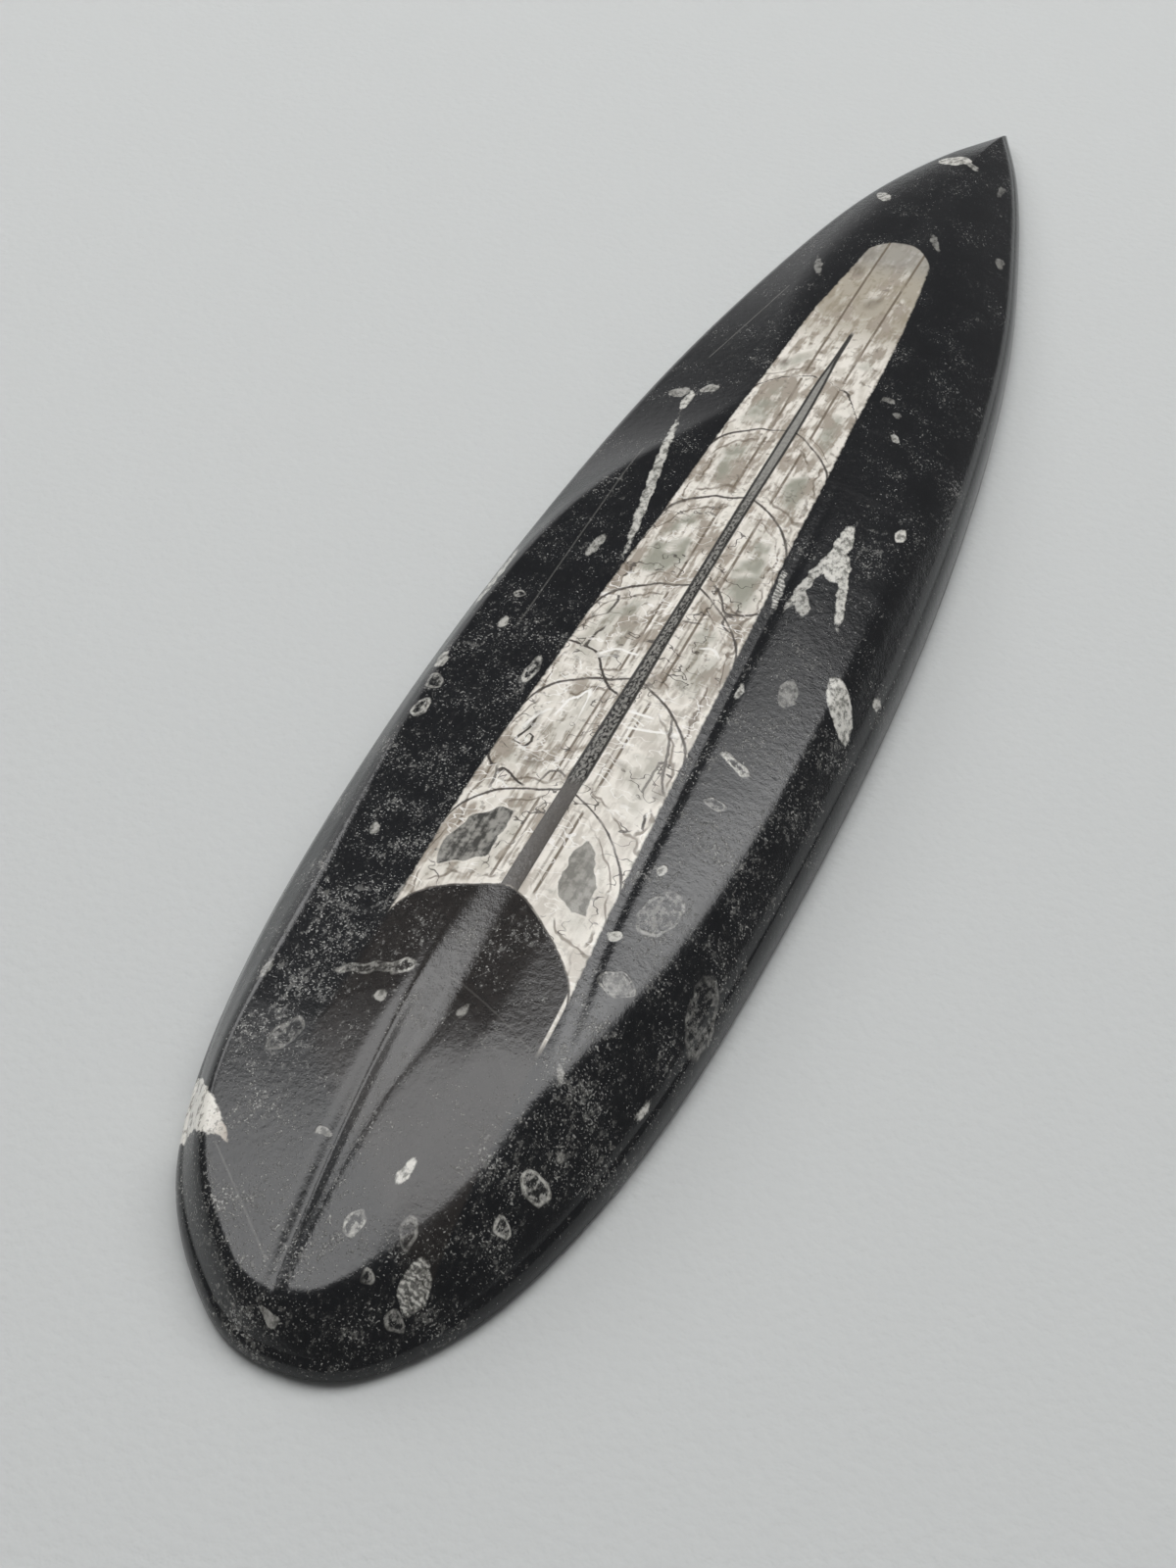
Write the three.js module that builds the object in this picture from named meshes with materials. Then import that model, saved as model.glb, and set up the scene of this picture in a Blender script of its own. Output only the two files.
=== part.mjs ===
// A polished orthoceras fossil: a straight-shelled cephalopod lying in one piece of black
// limestone. The stone is ground to a long leaf with a rounded end and a pointed end, sawn
// flat underneath and hand polished on top, so it is one solid with nothing fitted to it.
//
// Millimetres, +Z up, +Y towards the pointed end. The origin is the middle of the flat base.
import * as THREE from 'three';

// Outline of the stone seen from above: [y, left x, right x], pointed end first.
const OUTLINE = [
  [91.45, 0.1, 0.1],
  [81, -6.1, 4.6],
  [67, -11.2, 9.0],
  [47, -15.1, 14.0],
  [23, -18.2, 17.7],
  [-5, -19.9, 20.0],
  [-35, -20.2, 20.3],
  [-61, -18.4, 18.7],
  [-79, -14.2, 14.5],
  [-89, -6.0, 7.9],
  [-91.45, 1.0, 1.0],
];

// Edge of the stone. The wall stands on a small foot, rounds over and runs on as a bevel.
const FOOT_HEIGHT = 0.6;
const FOOT_INSET = 0.5;
const ROUND_OVER = 1.5;
const ROUND_POWER = 2.4;
const WALL_LEFT = [[-92, 2.2], [-80, 3.3], [-66, 4.8], [-50, 5.4], [20, 5.8], [60, 4.4], [92, 2.4]];
const WALL_RIGHT = [[-92, 2.2], [-76, 2.8], [-50, 3.6], [20, 4.0], [60, 3.4], [92, 2.4]];
const BEVEL_LEFT = [[-92, 1.7], [-80, 2.0], [-64, 1.2], [-12, 1.1], [6, 0.45], [92, 0.42]];
const BEVEL_RIGHT = [[-92, 1.2], [-50, 1.2], [0, 1.2], [50, 0.7], [92, 0.5]];

// How widely the bevel blends into the polished top. The left side keeps a crisp edge.
const BLEND_LEFT = [[-92, 1.6], [-70, 0.9], [-12, 0.6], [4, 0.3], [30, 0.3], [60, 1.0], [92, 2.0]];
const BLEND_RIGHT = [[-92, 2.2], [-82, 2.0], [-66, 1.4], [-50, 1.2], [92, 1.4]];
const SIDE_MIX_WIDTH = 8;

// Height of the polished top at the foot of the ridge, and its slope on the left lobe.
const CROWN = [
  [-92, 4.6],
  [-86, 5.7],
  [-80, 6.9],
  [-72, 8.0],
  [-66, 8.55],
  [-58, 8.85],
  [-45, 9.0],
  [-20, 9.1],
  [10, 8.9],
  [35, 8.1],
  [60, 6.6],
  [80, 4.8],
  [92, 3.6],
];
const LEFT_SLOPE = 0.05;

// Lines along the stone where the slope of the polished top turns, from left to right. Each
// row is [y, x, turn], and the radius says how round the turn is.
const CREASES = [
  {
    name: 'foot of the ridge',
    radius: 0.5,
    rows: [
      [-92, 0.9, 0.02],
      [-86, -0.4, 0.12],
      [-80, -0.9, 0.22],
      [-70, -1.5, 0.28],
      [-60, -1.8, 0.28],
      [-50, -2.0, 0.28],
      [0, -2.2, 0.22],
      [50, -1.8, 0.12],
      [92, 0.0, 0.0],
    ],
  },
  {
    name: 'left edge of the ridge',
    radius: 0.5,
    rows: [
      [-92, 1.5, -0.07],
      [-86, 0.4, -0.14],
      [-80, 0.5, -0.24],
      [-72, 0.6, -0.28],
      [-66, 1.5, -0.3],
      [-57, 1.3, -0.3],
      [-50, 1.1, -0.3],
      [0, 0.9, -0.27],
      [50, 0.7, -0.17],
      [92, 0.4, -0.05],
    ],
  },
  {
    name: 'right edge of the ridge',
    radius: 0.6,
    rows: [
      [-92, 5.4, -0.1],
      [-66, 5.3, -0.1],
      [-50, 5.2, -0.14],
      [0, 4.2, -0.1],
      [50, 2.4, -0.1],
      [92, 0.8, -0.08],
    ],
  },
  {
    name: 'outer edge of the right flank',
    radius: 0.7,
    rows: [
      [-92, 4.5, -0.3],
      [-80, 9.5, -0.31],
      [-72, 11.4, -0.32],
      [-64, 11.6, -0.24],
      [-50, 9.8, -0.15],
      [0, 7.4, -0.13],
      [50, 5.4, -0.12],
      [92, 2.0, -0.05],
    ],
  },
  {
    name: 'shoulder of the right lobe',
    radius: 3.6,
    rows: [
      [-92, 12.0, -0.2],
      [-60, 15.5, -0.25],
      [-35, 16.0, -0.25],
      [0, 15.0, -0.25],
      [50, 10.5, -0.25],
      [92, 4.6, -0.25],
    ],
  },
];

// Mesh fineness: rows along each side, and steps from the edge in to the spine.
const ROWS = 72;
const STEPS = 22;
const STEP_POWER = 1.9;
const SPINE_SHARE = 0.84;
const SPINE_X = 2.5;

const STONE_COLOUR = 0x2a2a2c;

// A smooth curve through a table of [y, value] rows.
function curveThrough(rows) {
  const ys = rows.map((row) => row[0]);
  const values = rows.map((row) => row[1]);
  const curve = new THREE.CubicInterpolant(ys, values, 1, new Float64Array(1));
  return (y) => curve.evaluate(THREE.MathUtils.clamp(y, ys[0], ys[ys.length - 1]))[0];
}

// log(1 + e^t): a straight line that bends smoothly from flat to a slope of one.
function softBend(t) {
  return Math.max(t, 0) + Math.log1p(Math.exp(-Math.abs(t)));
}

// The lower of two heights, with the corner between them rounded off.
function softLower(a, b, blend) {
  const share = THREE.MathUtils.clamp(0.5 + (0.5 * (b - a)) / blend, 0, 1);
  return THREE.MathUtils.lerp(b, a, share) - blend * share * (1 - share);
}

const wallLeft = curveThrough(WALL_LEFT);
const wallRight = curveThrough(WALL_RIGHT);
const bevelLeft = curveThrough(BEVEL_LEFT);
const bevelRight = curveThrough(BEVEL_RIGHT);
const blendLeft = curveThrough(BLEND_LEFT);
const blendRight = curveThrough(BLEND_RIGHT);
const crown = curveThrough(CROWN);
const creases = CREASES.map(({ radius, rows }) => ({
  radius,
  at: curveThrough(rows.map(([y, x]) => [y, x])),
  turn: curveThrough(rows.map(([y, , turn]) => [y, turn])),
}));

// Polished top, before the edge is taken off.
function topHeight(x, y) {
  let height = crown(y) + LEFT_SLOPE * (x - creases[0].at(y));
  for (const { radius, at, turn } of creases) {
    height += turn(y) * radius * softBend((x - at(y)) / radius);
  }
  return height;
}

// Height of the stone at a point that lies `inset` millimetres inside the outline.
function stoneHeight(x, y, inset) {
  const side = THREE.MathUtils.clamp(0.5 + x / SIDE_MIX_WIDTH, 0, 1);
  const wall = THREE.MathUtils.lerp(wallLeft(y), wallRight(y), side) - FOOT_HEIGHT;
  const bevel = THREE.MathUtils.lerp(bevelLeft(y), bevelRight(y), side);
  const blend = THREE.MathUtils.lerp(blendLeft(y), blendRight(y), side);
  const out = THREE.MathUtils.clamp(1 - inset / ROUND_OVER, 0, 1);
  const rounded = FOOT_HEIGHT + wall * (1 - out ** ROUND_POWER) ** (1 / ROUND_POWER);
  const edge = rounded + bevel * Math.max(inset - ROUND_OVER / 2, 0);
  return softLower(edge, topHeight(x, y), blend);
}

// The outline as one curve: down the right side, round the end and up the left side.
function outlineCurve() {
  const right = OUTLINE.map(([y, , x]) => new THREE.Vector3(x, y, 0));
  const left = OUTLINE.slice(0, -1).reverse().map(([y, x]) => new THREE.Vector3(x, y, 0));
  return new THREE.CatmullRomCurve3([...right, ...left], false, 'catmullrom', 0.5);
}

// Distance from a point to the nearest piece of the outline.
function distanceTo(outline, point) {
  const line = new THREE.Line3();
  const nearest = new THREE.Vector3();
  let best = Infinity;
  for (let i = 0; i < outline.length - 1; i += 1) {
    line.set(outline[i], outline[i + 1]).closestPointToPoint(point, true, nearest);
    best = Math.min(best, nearest.distanceToSquared(point));
  }
  return Math.sqrt(best);
}

// Rings of points from the foot, over the wall and the top, in to the spine of the stone.
// The spine is shared by both sides, so the last ring runs along it and back again.
function stoneGeometry() {
  const around = 2 * ROWS;
  const curve = outlineCurve();
  const outline = Array.from({ length: around + 1 }, (_, i) => curve.getPoint(i / around));
  const positions = [];
  const faces = [];
  const rings = [];

  function addRing(place) {
    rings.push(Array.from({ length: around }, (_, i) => {
      positions.push(...place(outline[i]).toArray());
      return positions.length / 3 - 1;
    }));
  }

  function spineBelow(edge) {
    return new THREE.Vector3(SPINE_X * (1 - Math.abs(edge.y) / OUTLINE[0][0]), SPINE_SHARE * edge.y, 0);
  }

  function inwards(edge, distance) {
    const spine = spineBelow(edge);
    return edge.clone().lerp(spine, distance / edge.distanceTo(spine));
  }

  addRing((edge) => inwards(edge, FOOT_INSET));
  addRing((edge) => new THREE.Vector3(edge.x, edge.y, FOOT_HEIGHT));
  for (let step = 1; step < STEPS; step += 1) {
    const share = (step / STEPS) ** STEP_POWER;
    addRing((edge) => {
      const point = edge.clone().lerp(spineBelow(edge), share);
      point.z = stoneHeight(point.x, point.y, distanceTo(outline, point));
      return point;
    });
  }

  const spine = Array.from({ length: ROWS + 1 }, (_, i) => {
    const point = spineBelow(outline[i]);
    point.z = stoneHeight(point.x, point.y, distanceTo(outline, point));
    positions.push(...point.toArray());
    return positions.length / 3 - 1;
  });
  rings.push(Array.from({ length: around }, (_, i) => spine[Math.min(i, around - i)]));

  for (let ring = 0; ring < rings.length - 1; ring += 1) {
    for (let i = 0; i < around; i += 1) {
      const next = (i + 1) % around;
      const [a, b] = [rings[ring][i], rings[ring][next]];
      const [c, d] = [rings[ring + 1][next], rings[ring + 1][i]];
      faces.push(a, c, b, a, d, c);
    }
  }

  // The flat base: strips across the foot ring from the right side to the left.
  const foot = rings[0];
  for (let i = 0; i < ROWS; i += 1) {
    const left = (around - i) % around;
    const leftNext = around - i - 1;
    if (left !== i) faces.push(foot[i], foot[i + 1], foot[left]);
    if (leftNext !== i + 1) faces.push(foot[left], foot[i + 1], foot[leftNext]);
  }

  const geometry = new THREE.BufferGeometry();
  geometry.setAttribute('position', new THREE.Float32BufferAttribute(positions, 3));
  geometry.setIndex(faces);
  return geometry;
}

// Put the middle of the base on the origin.
function centredOnBase(geometry) {
  geometry.computeBoundingBox();
  const middle = geometry.boundingBox.getCenter(new THREE.Vector3());
  geometry.translate(-middle.x, -middle.y, 0);
  geometry.computeVertexNormals();
  return geometry;
}

const stone = new THREE.Mesh(
  centredOnBase(stoneGeometry()),
  new THREE.MeshStandardMaterial({ color: STONE_COLOUR, roughness: 0.35, metalness: 0 }),
);
stone.name = 'orthoceras_stone';

const part = new THREE.Group();
part.add(stone);

export default part;
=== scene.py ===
# %% [markdown]
# # A polished orthoceras fossil
#
# The object is one stone: a straight shelled animal of some 380 million years ago, lying in
# black limestone. The stone was sawn flat underneath, ground to a leaf shape and polished. The
# grinding went down to the middle of the shell and laid its chambers open.
#
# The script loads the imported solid, models the polished stone around the same numbers, and
# paints it with procedural materials. Lengths below are in millimetres, on the stone's own
# axes: +Y runs to the pointed end, +X to the right and +Z up.

# %% Load the frame
import math

import bpy
import numpy as np
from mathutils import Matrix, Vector


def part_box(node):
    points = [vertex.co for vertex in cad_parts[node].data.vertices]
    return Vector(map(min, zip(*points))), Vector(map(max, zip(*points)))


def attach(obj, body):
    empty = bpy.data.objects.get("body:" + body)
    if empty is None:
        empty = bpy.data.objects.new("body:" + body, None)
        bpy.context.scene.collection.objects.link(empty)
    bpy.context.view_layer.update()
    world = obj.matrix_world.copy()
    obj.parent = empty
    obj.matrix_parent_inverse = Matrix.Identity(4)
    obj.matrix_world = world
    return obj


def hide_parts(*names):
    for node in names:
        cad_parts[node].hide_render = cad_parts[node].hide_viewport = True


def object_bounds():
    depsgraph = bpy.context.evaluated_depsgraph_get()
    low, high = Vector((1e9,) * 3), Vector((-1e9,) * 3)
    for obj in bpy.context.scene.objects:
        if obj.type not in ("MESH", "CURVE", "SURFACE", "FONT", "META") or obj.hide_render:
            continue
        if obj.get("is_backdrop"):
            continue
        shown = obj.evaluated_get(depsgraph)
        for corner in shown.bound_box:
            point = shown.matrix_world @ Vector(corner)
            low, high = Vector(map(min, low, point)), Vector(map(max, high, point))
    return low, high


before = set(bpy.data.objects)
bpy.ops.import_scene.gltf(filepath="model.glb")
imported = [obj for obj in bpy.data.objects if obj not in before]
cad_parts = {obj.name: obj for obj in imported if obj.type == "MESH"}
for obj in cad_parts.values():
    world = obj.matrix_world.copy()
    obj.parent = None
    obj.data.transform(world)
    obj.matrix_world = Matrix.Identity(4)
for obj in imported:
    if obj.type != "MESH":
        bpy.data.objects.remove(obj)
node_name = "orthoceras_stone"
box_low, box_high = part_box(node_name)
cad_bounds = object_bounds()
MM = 0.001
length = (box_high.y - box_low.y) / MM
print(f"the packed stone is {length:.1f} mm long")

scene = bpy.context.scene
scene.view_settings.view_transform = "Standard"


# %% [markdown]
# ## Smooth curves through a few values
#
# Every line of the stone, such as its outline or the crest of its ridge, is a handful of
# values along its length. One helper joins such values with a smooth cubic curve, so a line
# needs no more values than its shape has bends.

# %% Curves
def along(y, rows):
    """Value at y of the smooth curve through rows of (y, value)."""
    knots, values = np.array(sorted(rows), float).T
    slopes = np.gradient(values, knots)
    y = np.clip(y, knots[0], knots[-1])
    i = np.clip(np.searchsorted(knots, y) - 1, 0, len(knots) - 2)
    gap = knots[i + 1] - knots[i]
    t = (y - knots[i]) / gap
    start = values[i] * (1 + 2 * t) * (1 - t) ** 2 + slopes[i] * gap * t * (1 - t) ** 2
    end = values[i + 1] * t * t * (3 - 2 * t) + slopes[i + 1] * gap * t * t * (t - 1)
    return start + end


def closed_curve(points, steps):
    """Smooth curve that starts and ends in a corner at the first point, as (x, y) rows."""
    points = np.array(points, float)
    padded = np.vstack([2 * points[0] - points[1], points, 2 * points[-1] - points[-2]])
    t = np.linspace(0, 1, steps, endpoint=False)[:, None]
    spans = []
    for before, here, there, after in zip(padded, padded[1:], padded[2:], padded[3:]):
        leave = (there - before) / 2
        arrive = (after - here) / 2
        cubic = (2 * here - 2 * there + leave + arrive) * t**3
        square = (-3 * here + 3 * there - 2 * leave - arrive) * t**2
        spans.append(cubic + square + leave * t + here)
    return np.vstack(spans + [points[-1:]])


print("curve helpers ready")

# %% [markdown]
# ## The outline and the relief
#
# The outline is a leaf: a rounded end, nearly straight sides and a pointed end. The polished
# top is a low crown with a ridge along its middle, where the grinder followed the shell. It is
# described by the lines along which its slope turns: the foot of the ridge, the two edges of
# the ridge top, the groove beside the shell, and the lobe to the right of the groove. The edge
# is a low wall on a small foot, rounded over into a bevel, and crisp only on the left.

# %% Outline and relief
OUTLINE = [  # y, left x, right x
    (91.45, 0.1, 0.1),
    (81, -6.1, 4.6),
    (67, -11.2, 9.0),
    (47, -15.1, 14.0),
    (23, -18.2, 17.7),
    (-5, -19.9, 20.0),
    (-35, -20.2, 20.3),
    (-61, -18.4, 18.7),
    (-79, -14.2, 14.5),
    (-89, -6.0, 7.9),
    (-91.45, 1.0, 1.0),
]
CROWN = [
    (-92, 4.6), (-86, 5.7), (-80, 6.9), (-72, 8.05), (-66, 8.6), (-58, 8.85), (-45, 9.0),
    (-20, 9.1), (10, 8.9), (35, 8.1), (60, 6.6), (80, 4.8), (92, 3.6),
]
LEFT_SLOPE = 0.05
CREASES = {  # name: (x along the stone, how much the slope turns, how round the turn is)
    "foot of the ridge": (
        [(-92, 0.9), (-86, -0.4), (-80, -0.9), (-70, -1.5), (-60, -1.8), (-50, -2.0), (0, -2.2),
         (50, -1.8), (92, 0)],
        [(-92, 0.02), (-86, 0.12), (-80, 0.22), (-70, 0.28), (-60, 0.28), (-50, 0.28), (0, 0.22),
         (50, 0.12), (80, 0)],
        0.3,
    ),
    "left edge of the ridge": (
        [(-92, 1.5), (-86, 0.4), (-80, 0.5), (-72, 0.6), (-66, 1.5), (-57, 1.3), (-50, 1.1),
         (0, 0.9), (50, 0.7), (92, 0.4)],
        [(-92, -0.07), (-86, -0.14), (-80, -0.24), (-70, -0.29), (-64, -0.3), (-57, -0.3),
         (-50, -0.3), (0, -0.27), (50, -0.17), (80, -0.05)],
        0.3,
    ),
    "right edge of the ridge": (
        [(-92, 5.4), (-66, 5.3), (-50, 5.2), (0, 4.2), (50, 2.4), (92, 0.8)],
        [(-92, -0.1), (-70, -0.11), (-64, -0.1), (-57, -0.11), (-50, -0.15), (0, -0.11),
         (50, -0.1), (92, -0.08)],
        0.25,
    ),
    "outer edge of the right flank": (
        [(-92, 4.5), (-86, 6.0), (-80, 9.5), (-72, 11.4), (-64, 11.6), (-50, 9.8), (-35, 9.0),
         (0, 7.4), (50, 5.4), (92, 2)],
        [(-92, -0.3), (-72, -0.32), (-64, -0.24), (-55, -0.15), (50, -0.12), (92, -0.05)],
        0.5,
    ),
    "shoulder of the right lobe": (
        [(-92, 12), (-60, 15.5), (-35, 16.0), (0, 15.0), (50, 10.5), (92, 4.6)],
        [(-92, -0.2), (-60, -0.25), (92, -0.25)],
        3.6,
    ),
}
GROOVES = {  # name: (x along the stone, depth, half width)
    "left of the ridge": (
        [(-92, 0.4), (-88, -0.4), (-80, -1.25), (-70, -2.05), (-60, -2.6), (-50, -2.8), (92, -2.8)],
        [(-92, 0.05), (-84, 0.3), (-66, 0.28), (-58, 0.1), (-48, 0), (92, 0)],
        0.7,
    ),
    "right of the shell": (
        [(-92, 11), (-64, 11.6), (-58, 10.7), (-50, 9.7), (-35, 8.9), (0, 7.4), (20, 6.6), (92, 3)],
        [(-92, 0), (-70, 0), (-62, 0.08), (-50, 0.12), (-10, 0.1), (10, 0.03), (30, 0), (92, 0)],
        0.55,
    ),
}
WALL = {
    "left": [(-92, 2.2), (-80, 3.3), (-66, 4.8), (-50, 5.4), (20, 5.8), (60, 4.4), (92, 2.4)],
    "right": [(-92, 2.2), (-76, 2.8), (-50, 3.6), (20, 4.0), (60, 3.4), (92, 2.4)],
}
BEVEL = {
    "left": [(-92, 1.7), (-80, 2.0), (-64, 1.2), (-12, 1.1), (6, 0.45), (60, 0.42), (92, 0.42)],
    "right": [(-92, 1.2), (-50, 1.2), (0, 1.2), (50, 0.7), (92, 0.5)],
}
BLEND = {
    "left": [(-92, 1.6), (-84, 1.4), (-70, 0.9), (-50, 0.8), (-12, 0.6), (4, 0.3), (30, 0.3),
             (60, 1.0), (92, 2)],
    "right": [(-92, 2.2), (-82, 2.0), (-66, 1.4), (-50, 1.2), (92, 1.4)],
}
FOOT_HEIGHT = 0.6
FOOT_INSET = 0.5
ROUND_OVER = 1.5
ROUND_POWER = 2.4
SIDE_MIX_WIDTH = 8

corner_to_corner = [(right, y) for y, left, right in OUTLINE]
corner_to_corner += [(left, y) for y, left, right in OUTLINE[-2::-1]]


def edge_distance(x, y, outline):
    """How far each point lies inside the outline."""
    nearest = np.full(x.shape, np.inf)
    for (ax, ay), (bx, by) in zip(outline, outline[1:]):
        dx, dy = bx - ax, by - ay
        t = np.clip(((x - ax) * dx + (y - ay) * dy) / (dx * dx + dy * dy), 0, 1)
        nearest = np.minimum(nearest, (x - ax - t * dx) ** 2 + (y - ay - t * dy) ** 2)
    return np.sqrt(nearest)


def stone_height(x, y, inset):
    """Height of the stone's surface above the table."""
    foot = along(y, CREASES["foot of the ridge"][0])
    top = along(y, CROWN) + LEFT_SLOPE * (x - foot)
    for line, turn, radius in CREASES.values():
        top += along(y, turn) * radius * np.logaddexp(0, (x - along(y, line)) / radius)
    for line, depth, half_width in GROOVES.values():
        top -= along(y, depth) * np.exp(-(((x - along(y, line)) / half_width) ** 2))
    right = np.clip(0.5 + x / SIDE_MIX_WIDTH, 0, 1)

    def both_sides(lines):
        return along(y, lines["left"]) * (1 - right) + along(y, lines["right"]) * right

    out = np.clip(1 - inset / ROUND_OVER, 0, 1)
    rounded = (1 - out**ROUND_POWER) ** (1 / ROUND_POWER)
    edge = FOOT_HEIGHT + (both_sides(WALL) - FOOT_HEIGHT) * rounded
    edge += both_sides(BEVEL) * np.maximum(inset - ROUND_OVER / 2, 0)
    blend = both_sides(BLEND)
    share = np.clip(0.5 + 0.5 * (top - edge) / blend, 0, 1)
    return top * (1 - share) + edge * share - blend * share * (1 - share)


print(f"{len(OUTLINE)} rows of outline, {len(CREASES)} creases and {len(GROOVES)} grooves")

# %% [markdown]
# ## The stone as one mesh
#
# A flat grid is the natural start for a skin that follows a relief. Its columns run from the
# left edge over the spine to the right edge, and its rows run along the stone and close up at
# both ends. The columns crowd together at the edges, where the wall is steep. Then the rim is
# extruded down to the foot and the base is filled, as it would be by hand.

# %% Model the stone
ROWS = 400
COLUMNS = 240
SPINE_SHARE = 0.84
SPINE_X = 2.5
CROWDING = 1.35
FINE_STEPS = 200
COARSE_STEPS = 12
MERGE_DISTANCE = 0.01
SHARP_ANGLE = 40


def only(piece):
    """Make piece the one selected, active object."""
    bpy.ops.object.select_all(action="DESELECT")
    piece.select_set(True)
    bpy.context.view_layer.objects.active = piece


def model_stone():
    """The polished skin: a grid bent to the outline and raised to the relief."""
    bpy.ops.object.select_all(action="DESELECT")
    bpy.ops.mesh.primitive_grid_add(x_subdivisions=COLUMNS, y_subdivisions=ROWS, size=2)
    stone = bpy.context.active_object
    stone.name = stone.data.name = "polished_stone"
    flat = np.empty(len(stone.data.vertices) * 3)
    stone.data.vertices.foreach_get("co", flat)
    across, lengthways, _ = flat.reshape(-1, 3).T

    smooth = closed_curve(corner_to_corner, FINE_STEPS)
    steps = np.linspace(0, 1, len(smooth))
    half = (1 - lengthways) / 4
    half = np.where(across > 0, half, 1 - half)
    edge_x = np.interp(half, steps, smooth[:, 0])
    edge_y = np.interp(half, steps, smooth[:, 1])
    spine_y = SPINE_SHARE * edge_y
    spine_x = SPINE_X * (1 - np.abs(edge_y) / OUTLINE[0][0])
    share = np.clip(1 - np.abs(across), 0, 1) ** CROWDING
    x = edge_x + (spine_x - edge_x) * share
    y = edge_y + (spine_y - edge_y) * share
    outline = closed_curve(corner_to_corner, COARSE_STEPS)
    z = stone_height(x, y, np.where(share > 0, edge_distance(x, y, outline), 0))
    place = np.stack([x, y, z], 1) * MM
    stone.data.vertices.foreach_set("co", place.ravel())
    stone.data.update()
    print(f"skin of {len(stone.data.vertices)} points, {z.max():.1f} mm high")
    return stone


def close_underneath(stone):
    """Merge the two ends of the grid, extrude the foot and fill the base."""
    only(stone)
    bpy.ops.object.mode_set(mode="EDIT")
    bpy.ops.mesh.select_all(action="SELECT")
    bpy.ops.mesh.remove_doubles(threshold=MERGE_DISTANCE * MM)
    bpy.ops.mesh.select_all(action="DESELECT")
    bpy.ops.mesh.select_mode(type="EDGE")
    bpy.ops.mesh.select_non_manifold(extend=False, use_wire=False, use_multi_face=False,
                                     use_non_contiguous=False, use_verts=False)
    bpy.ops.mesh.extrude_region_move(
        TRANSFORM_OT_translate={"value": (0, 0, -FOOT_HEIGHT * MM)})
    width = (box_high.x - box_low.x) / MM
    inward = (1 - 2 * FOOT_INSET / width, 1 - 2 * FOOT_INSET / length, 1)
    bpy.ops.transform.resize(value=inward, center_override=(0, 0, 0))
    bpy.ops.mesh.fill(use_beauty=False)
    bpy.ops.mesh.select_all(action="SELECT")
    bpy.ops.mesh.normals_make_consistent(inside=False)
    bpy.ops.object.mode_set(mode="OBJECT")
    bpy.ops.object.shade_smooth_by_angle(angle=math.radians(SHARP_ANGLE))


# %% [markdown]
# ## Unfolding the skin
#
# To carry its finish as a picture the skin needs a flat layout. The top is a long leaf, so it
# is cut across at the middle and both halves lie side by side, which fills a square well. The
# walls are folded outwards around them. The plain base needs little room and lies above.

# %% Flat layout
STRIP_WIDTH = 53  # millimetres of stone across half of the square
SPINE_END = 76  # the walls fold outwards from the line between these ends
NEAREST = 6
WALL_TOP = 5
WALL_SHARE = 0.8  # how far a millimetre of wall or foot is folded out
FOOT_SHARE = 1.4
BORDER = 0.005
BASE_SHARE = 0.005
BASE_SQUEEZE = 0.35
BASE_ROW = 0.96
BASE_HEIGHT = 0.1


def unfold(stone):
    """Lay both halves of the top side by side in a square, with the base above them."""
    mesh = stone.data
    mesh.uv_layers.remove(mesh.uv_layers[0])
    layer = mesh.uv_layers.new(name="OFBake")
    places = np.empty(len(mesh.vertices) * 3)
    mesh.vertices.foreach_get("co", places)
    x, y, z = places.reshape(-1, 3).T / MM
    out_x, out_y = x, y - np.clip(y, -SPINE_END, SPINE_END)
    reach = np.maximum(np.hypot(out_x, out_y), NEAREST)
    down = WALL_SHARE * np.maximum(WALL_TOP - z, 0)
    down += FOOT_SHARE * np.maximum(FOOT_HEIGHT - z, 0)
    flat_x, flat_y = x + out_x / reach * down, y + out_y / reach * down
    scale = 0.5 / STRIP_WIDTH
    uv = np.empty((len(mesh.loops), 2))
    for face in mesh.polygons:
        loops = list(face.loop_indices)
        points = [mesh.loops[i].vertex_index for i in loops]
        if face.center.z < BASE_HEIGHT * MM:
            uv[loops, 0] = 0.5 + y[points] * BASE_SHARE
            uv[loops, 1] = BASE_ROW + x[points] * BASE_SHARE * BASE_SQUEEZE
        elif face.center.y > 0:
            uv[loops, 0] = 0.25 + flat_x[points] * scale
            uv[loops, 1] = BORDER + flat_y[points] * scale
        else:
            uv[loops, 0] = 0.75 - flat_x[points] * scale
            uv[loops, 1] = BORDER - flat_y[points] * scale
    layer.data.foreach_set("uv", uv.ravel())
    print(f"layout reaches {uv.max(0).round(3)} of the square")


stone = model_stone()
close_underneath(stone)
unfold(stone)
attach(stone, "root")
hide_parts(node_name)


# %% [markdown]
# ## A chart of the shell
#
# The shell is a long cone that was cut lengthwise. It is divided by septa, the walls between
# its old gas chambers, and a thin tube, the siphuncle, runs through all of them. Each septum
# is a bowl: in the cut it is an arc that starts highest at the tube and drops towards both
# edges. Adding that drop to y straightens all arcs at once, so a place has one chamber number,
# and a whole number is a septum.
#
# These measures change slowly over the stone, so they are worked out once for each point of
# the mesh and stored there. The material only has to draw sharp lines at the right values.

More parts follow.
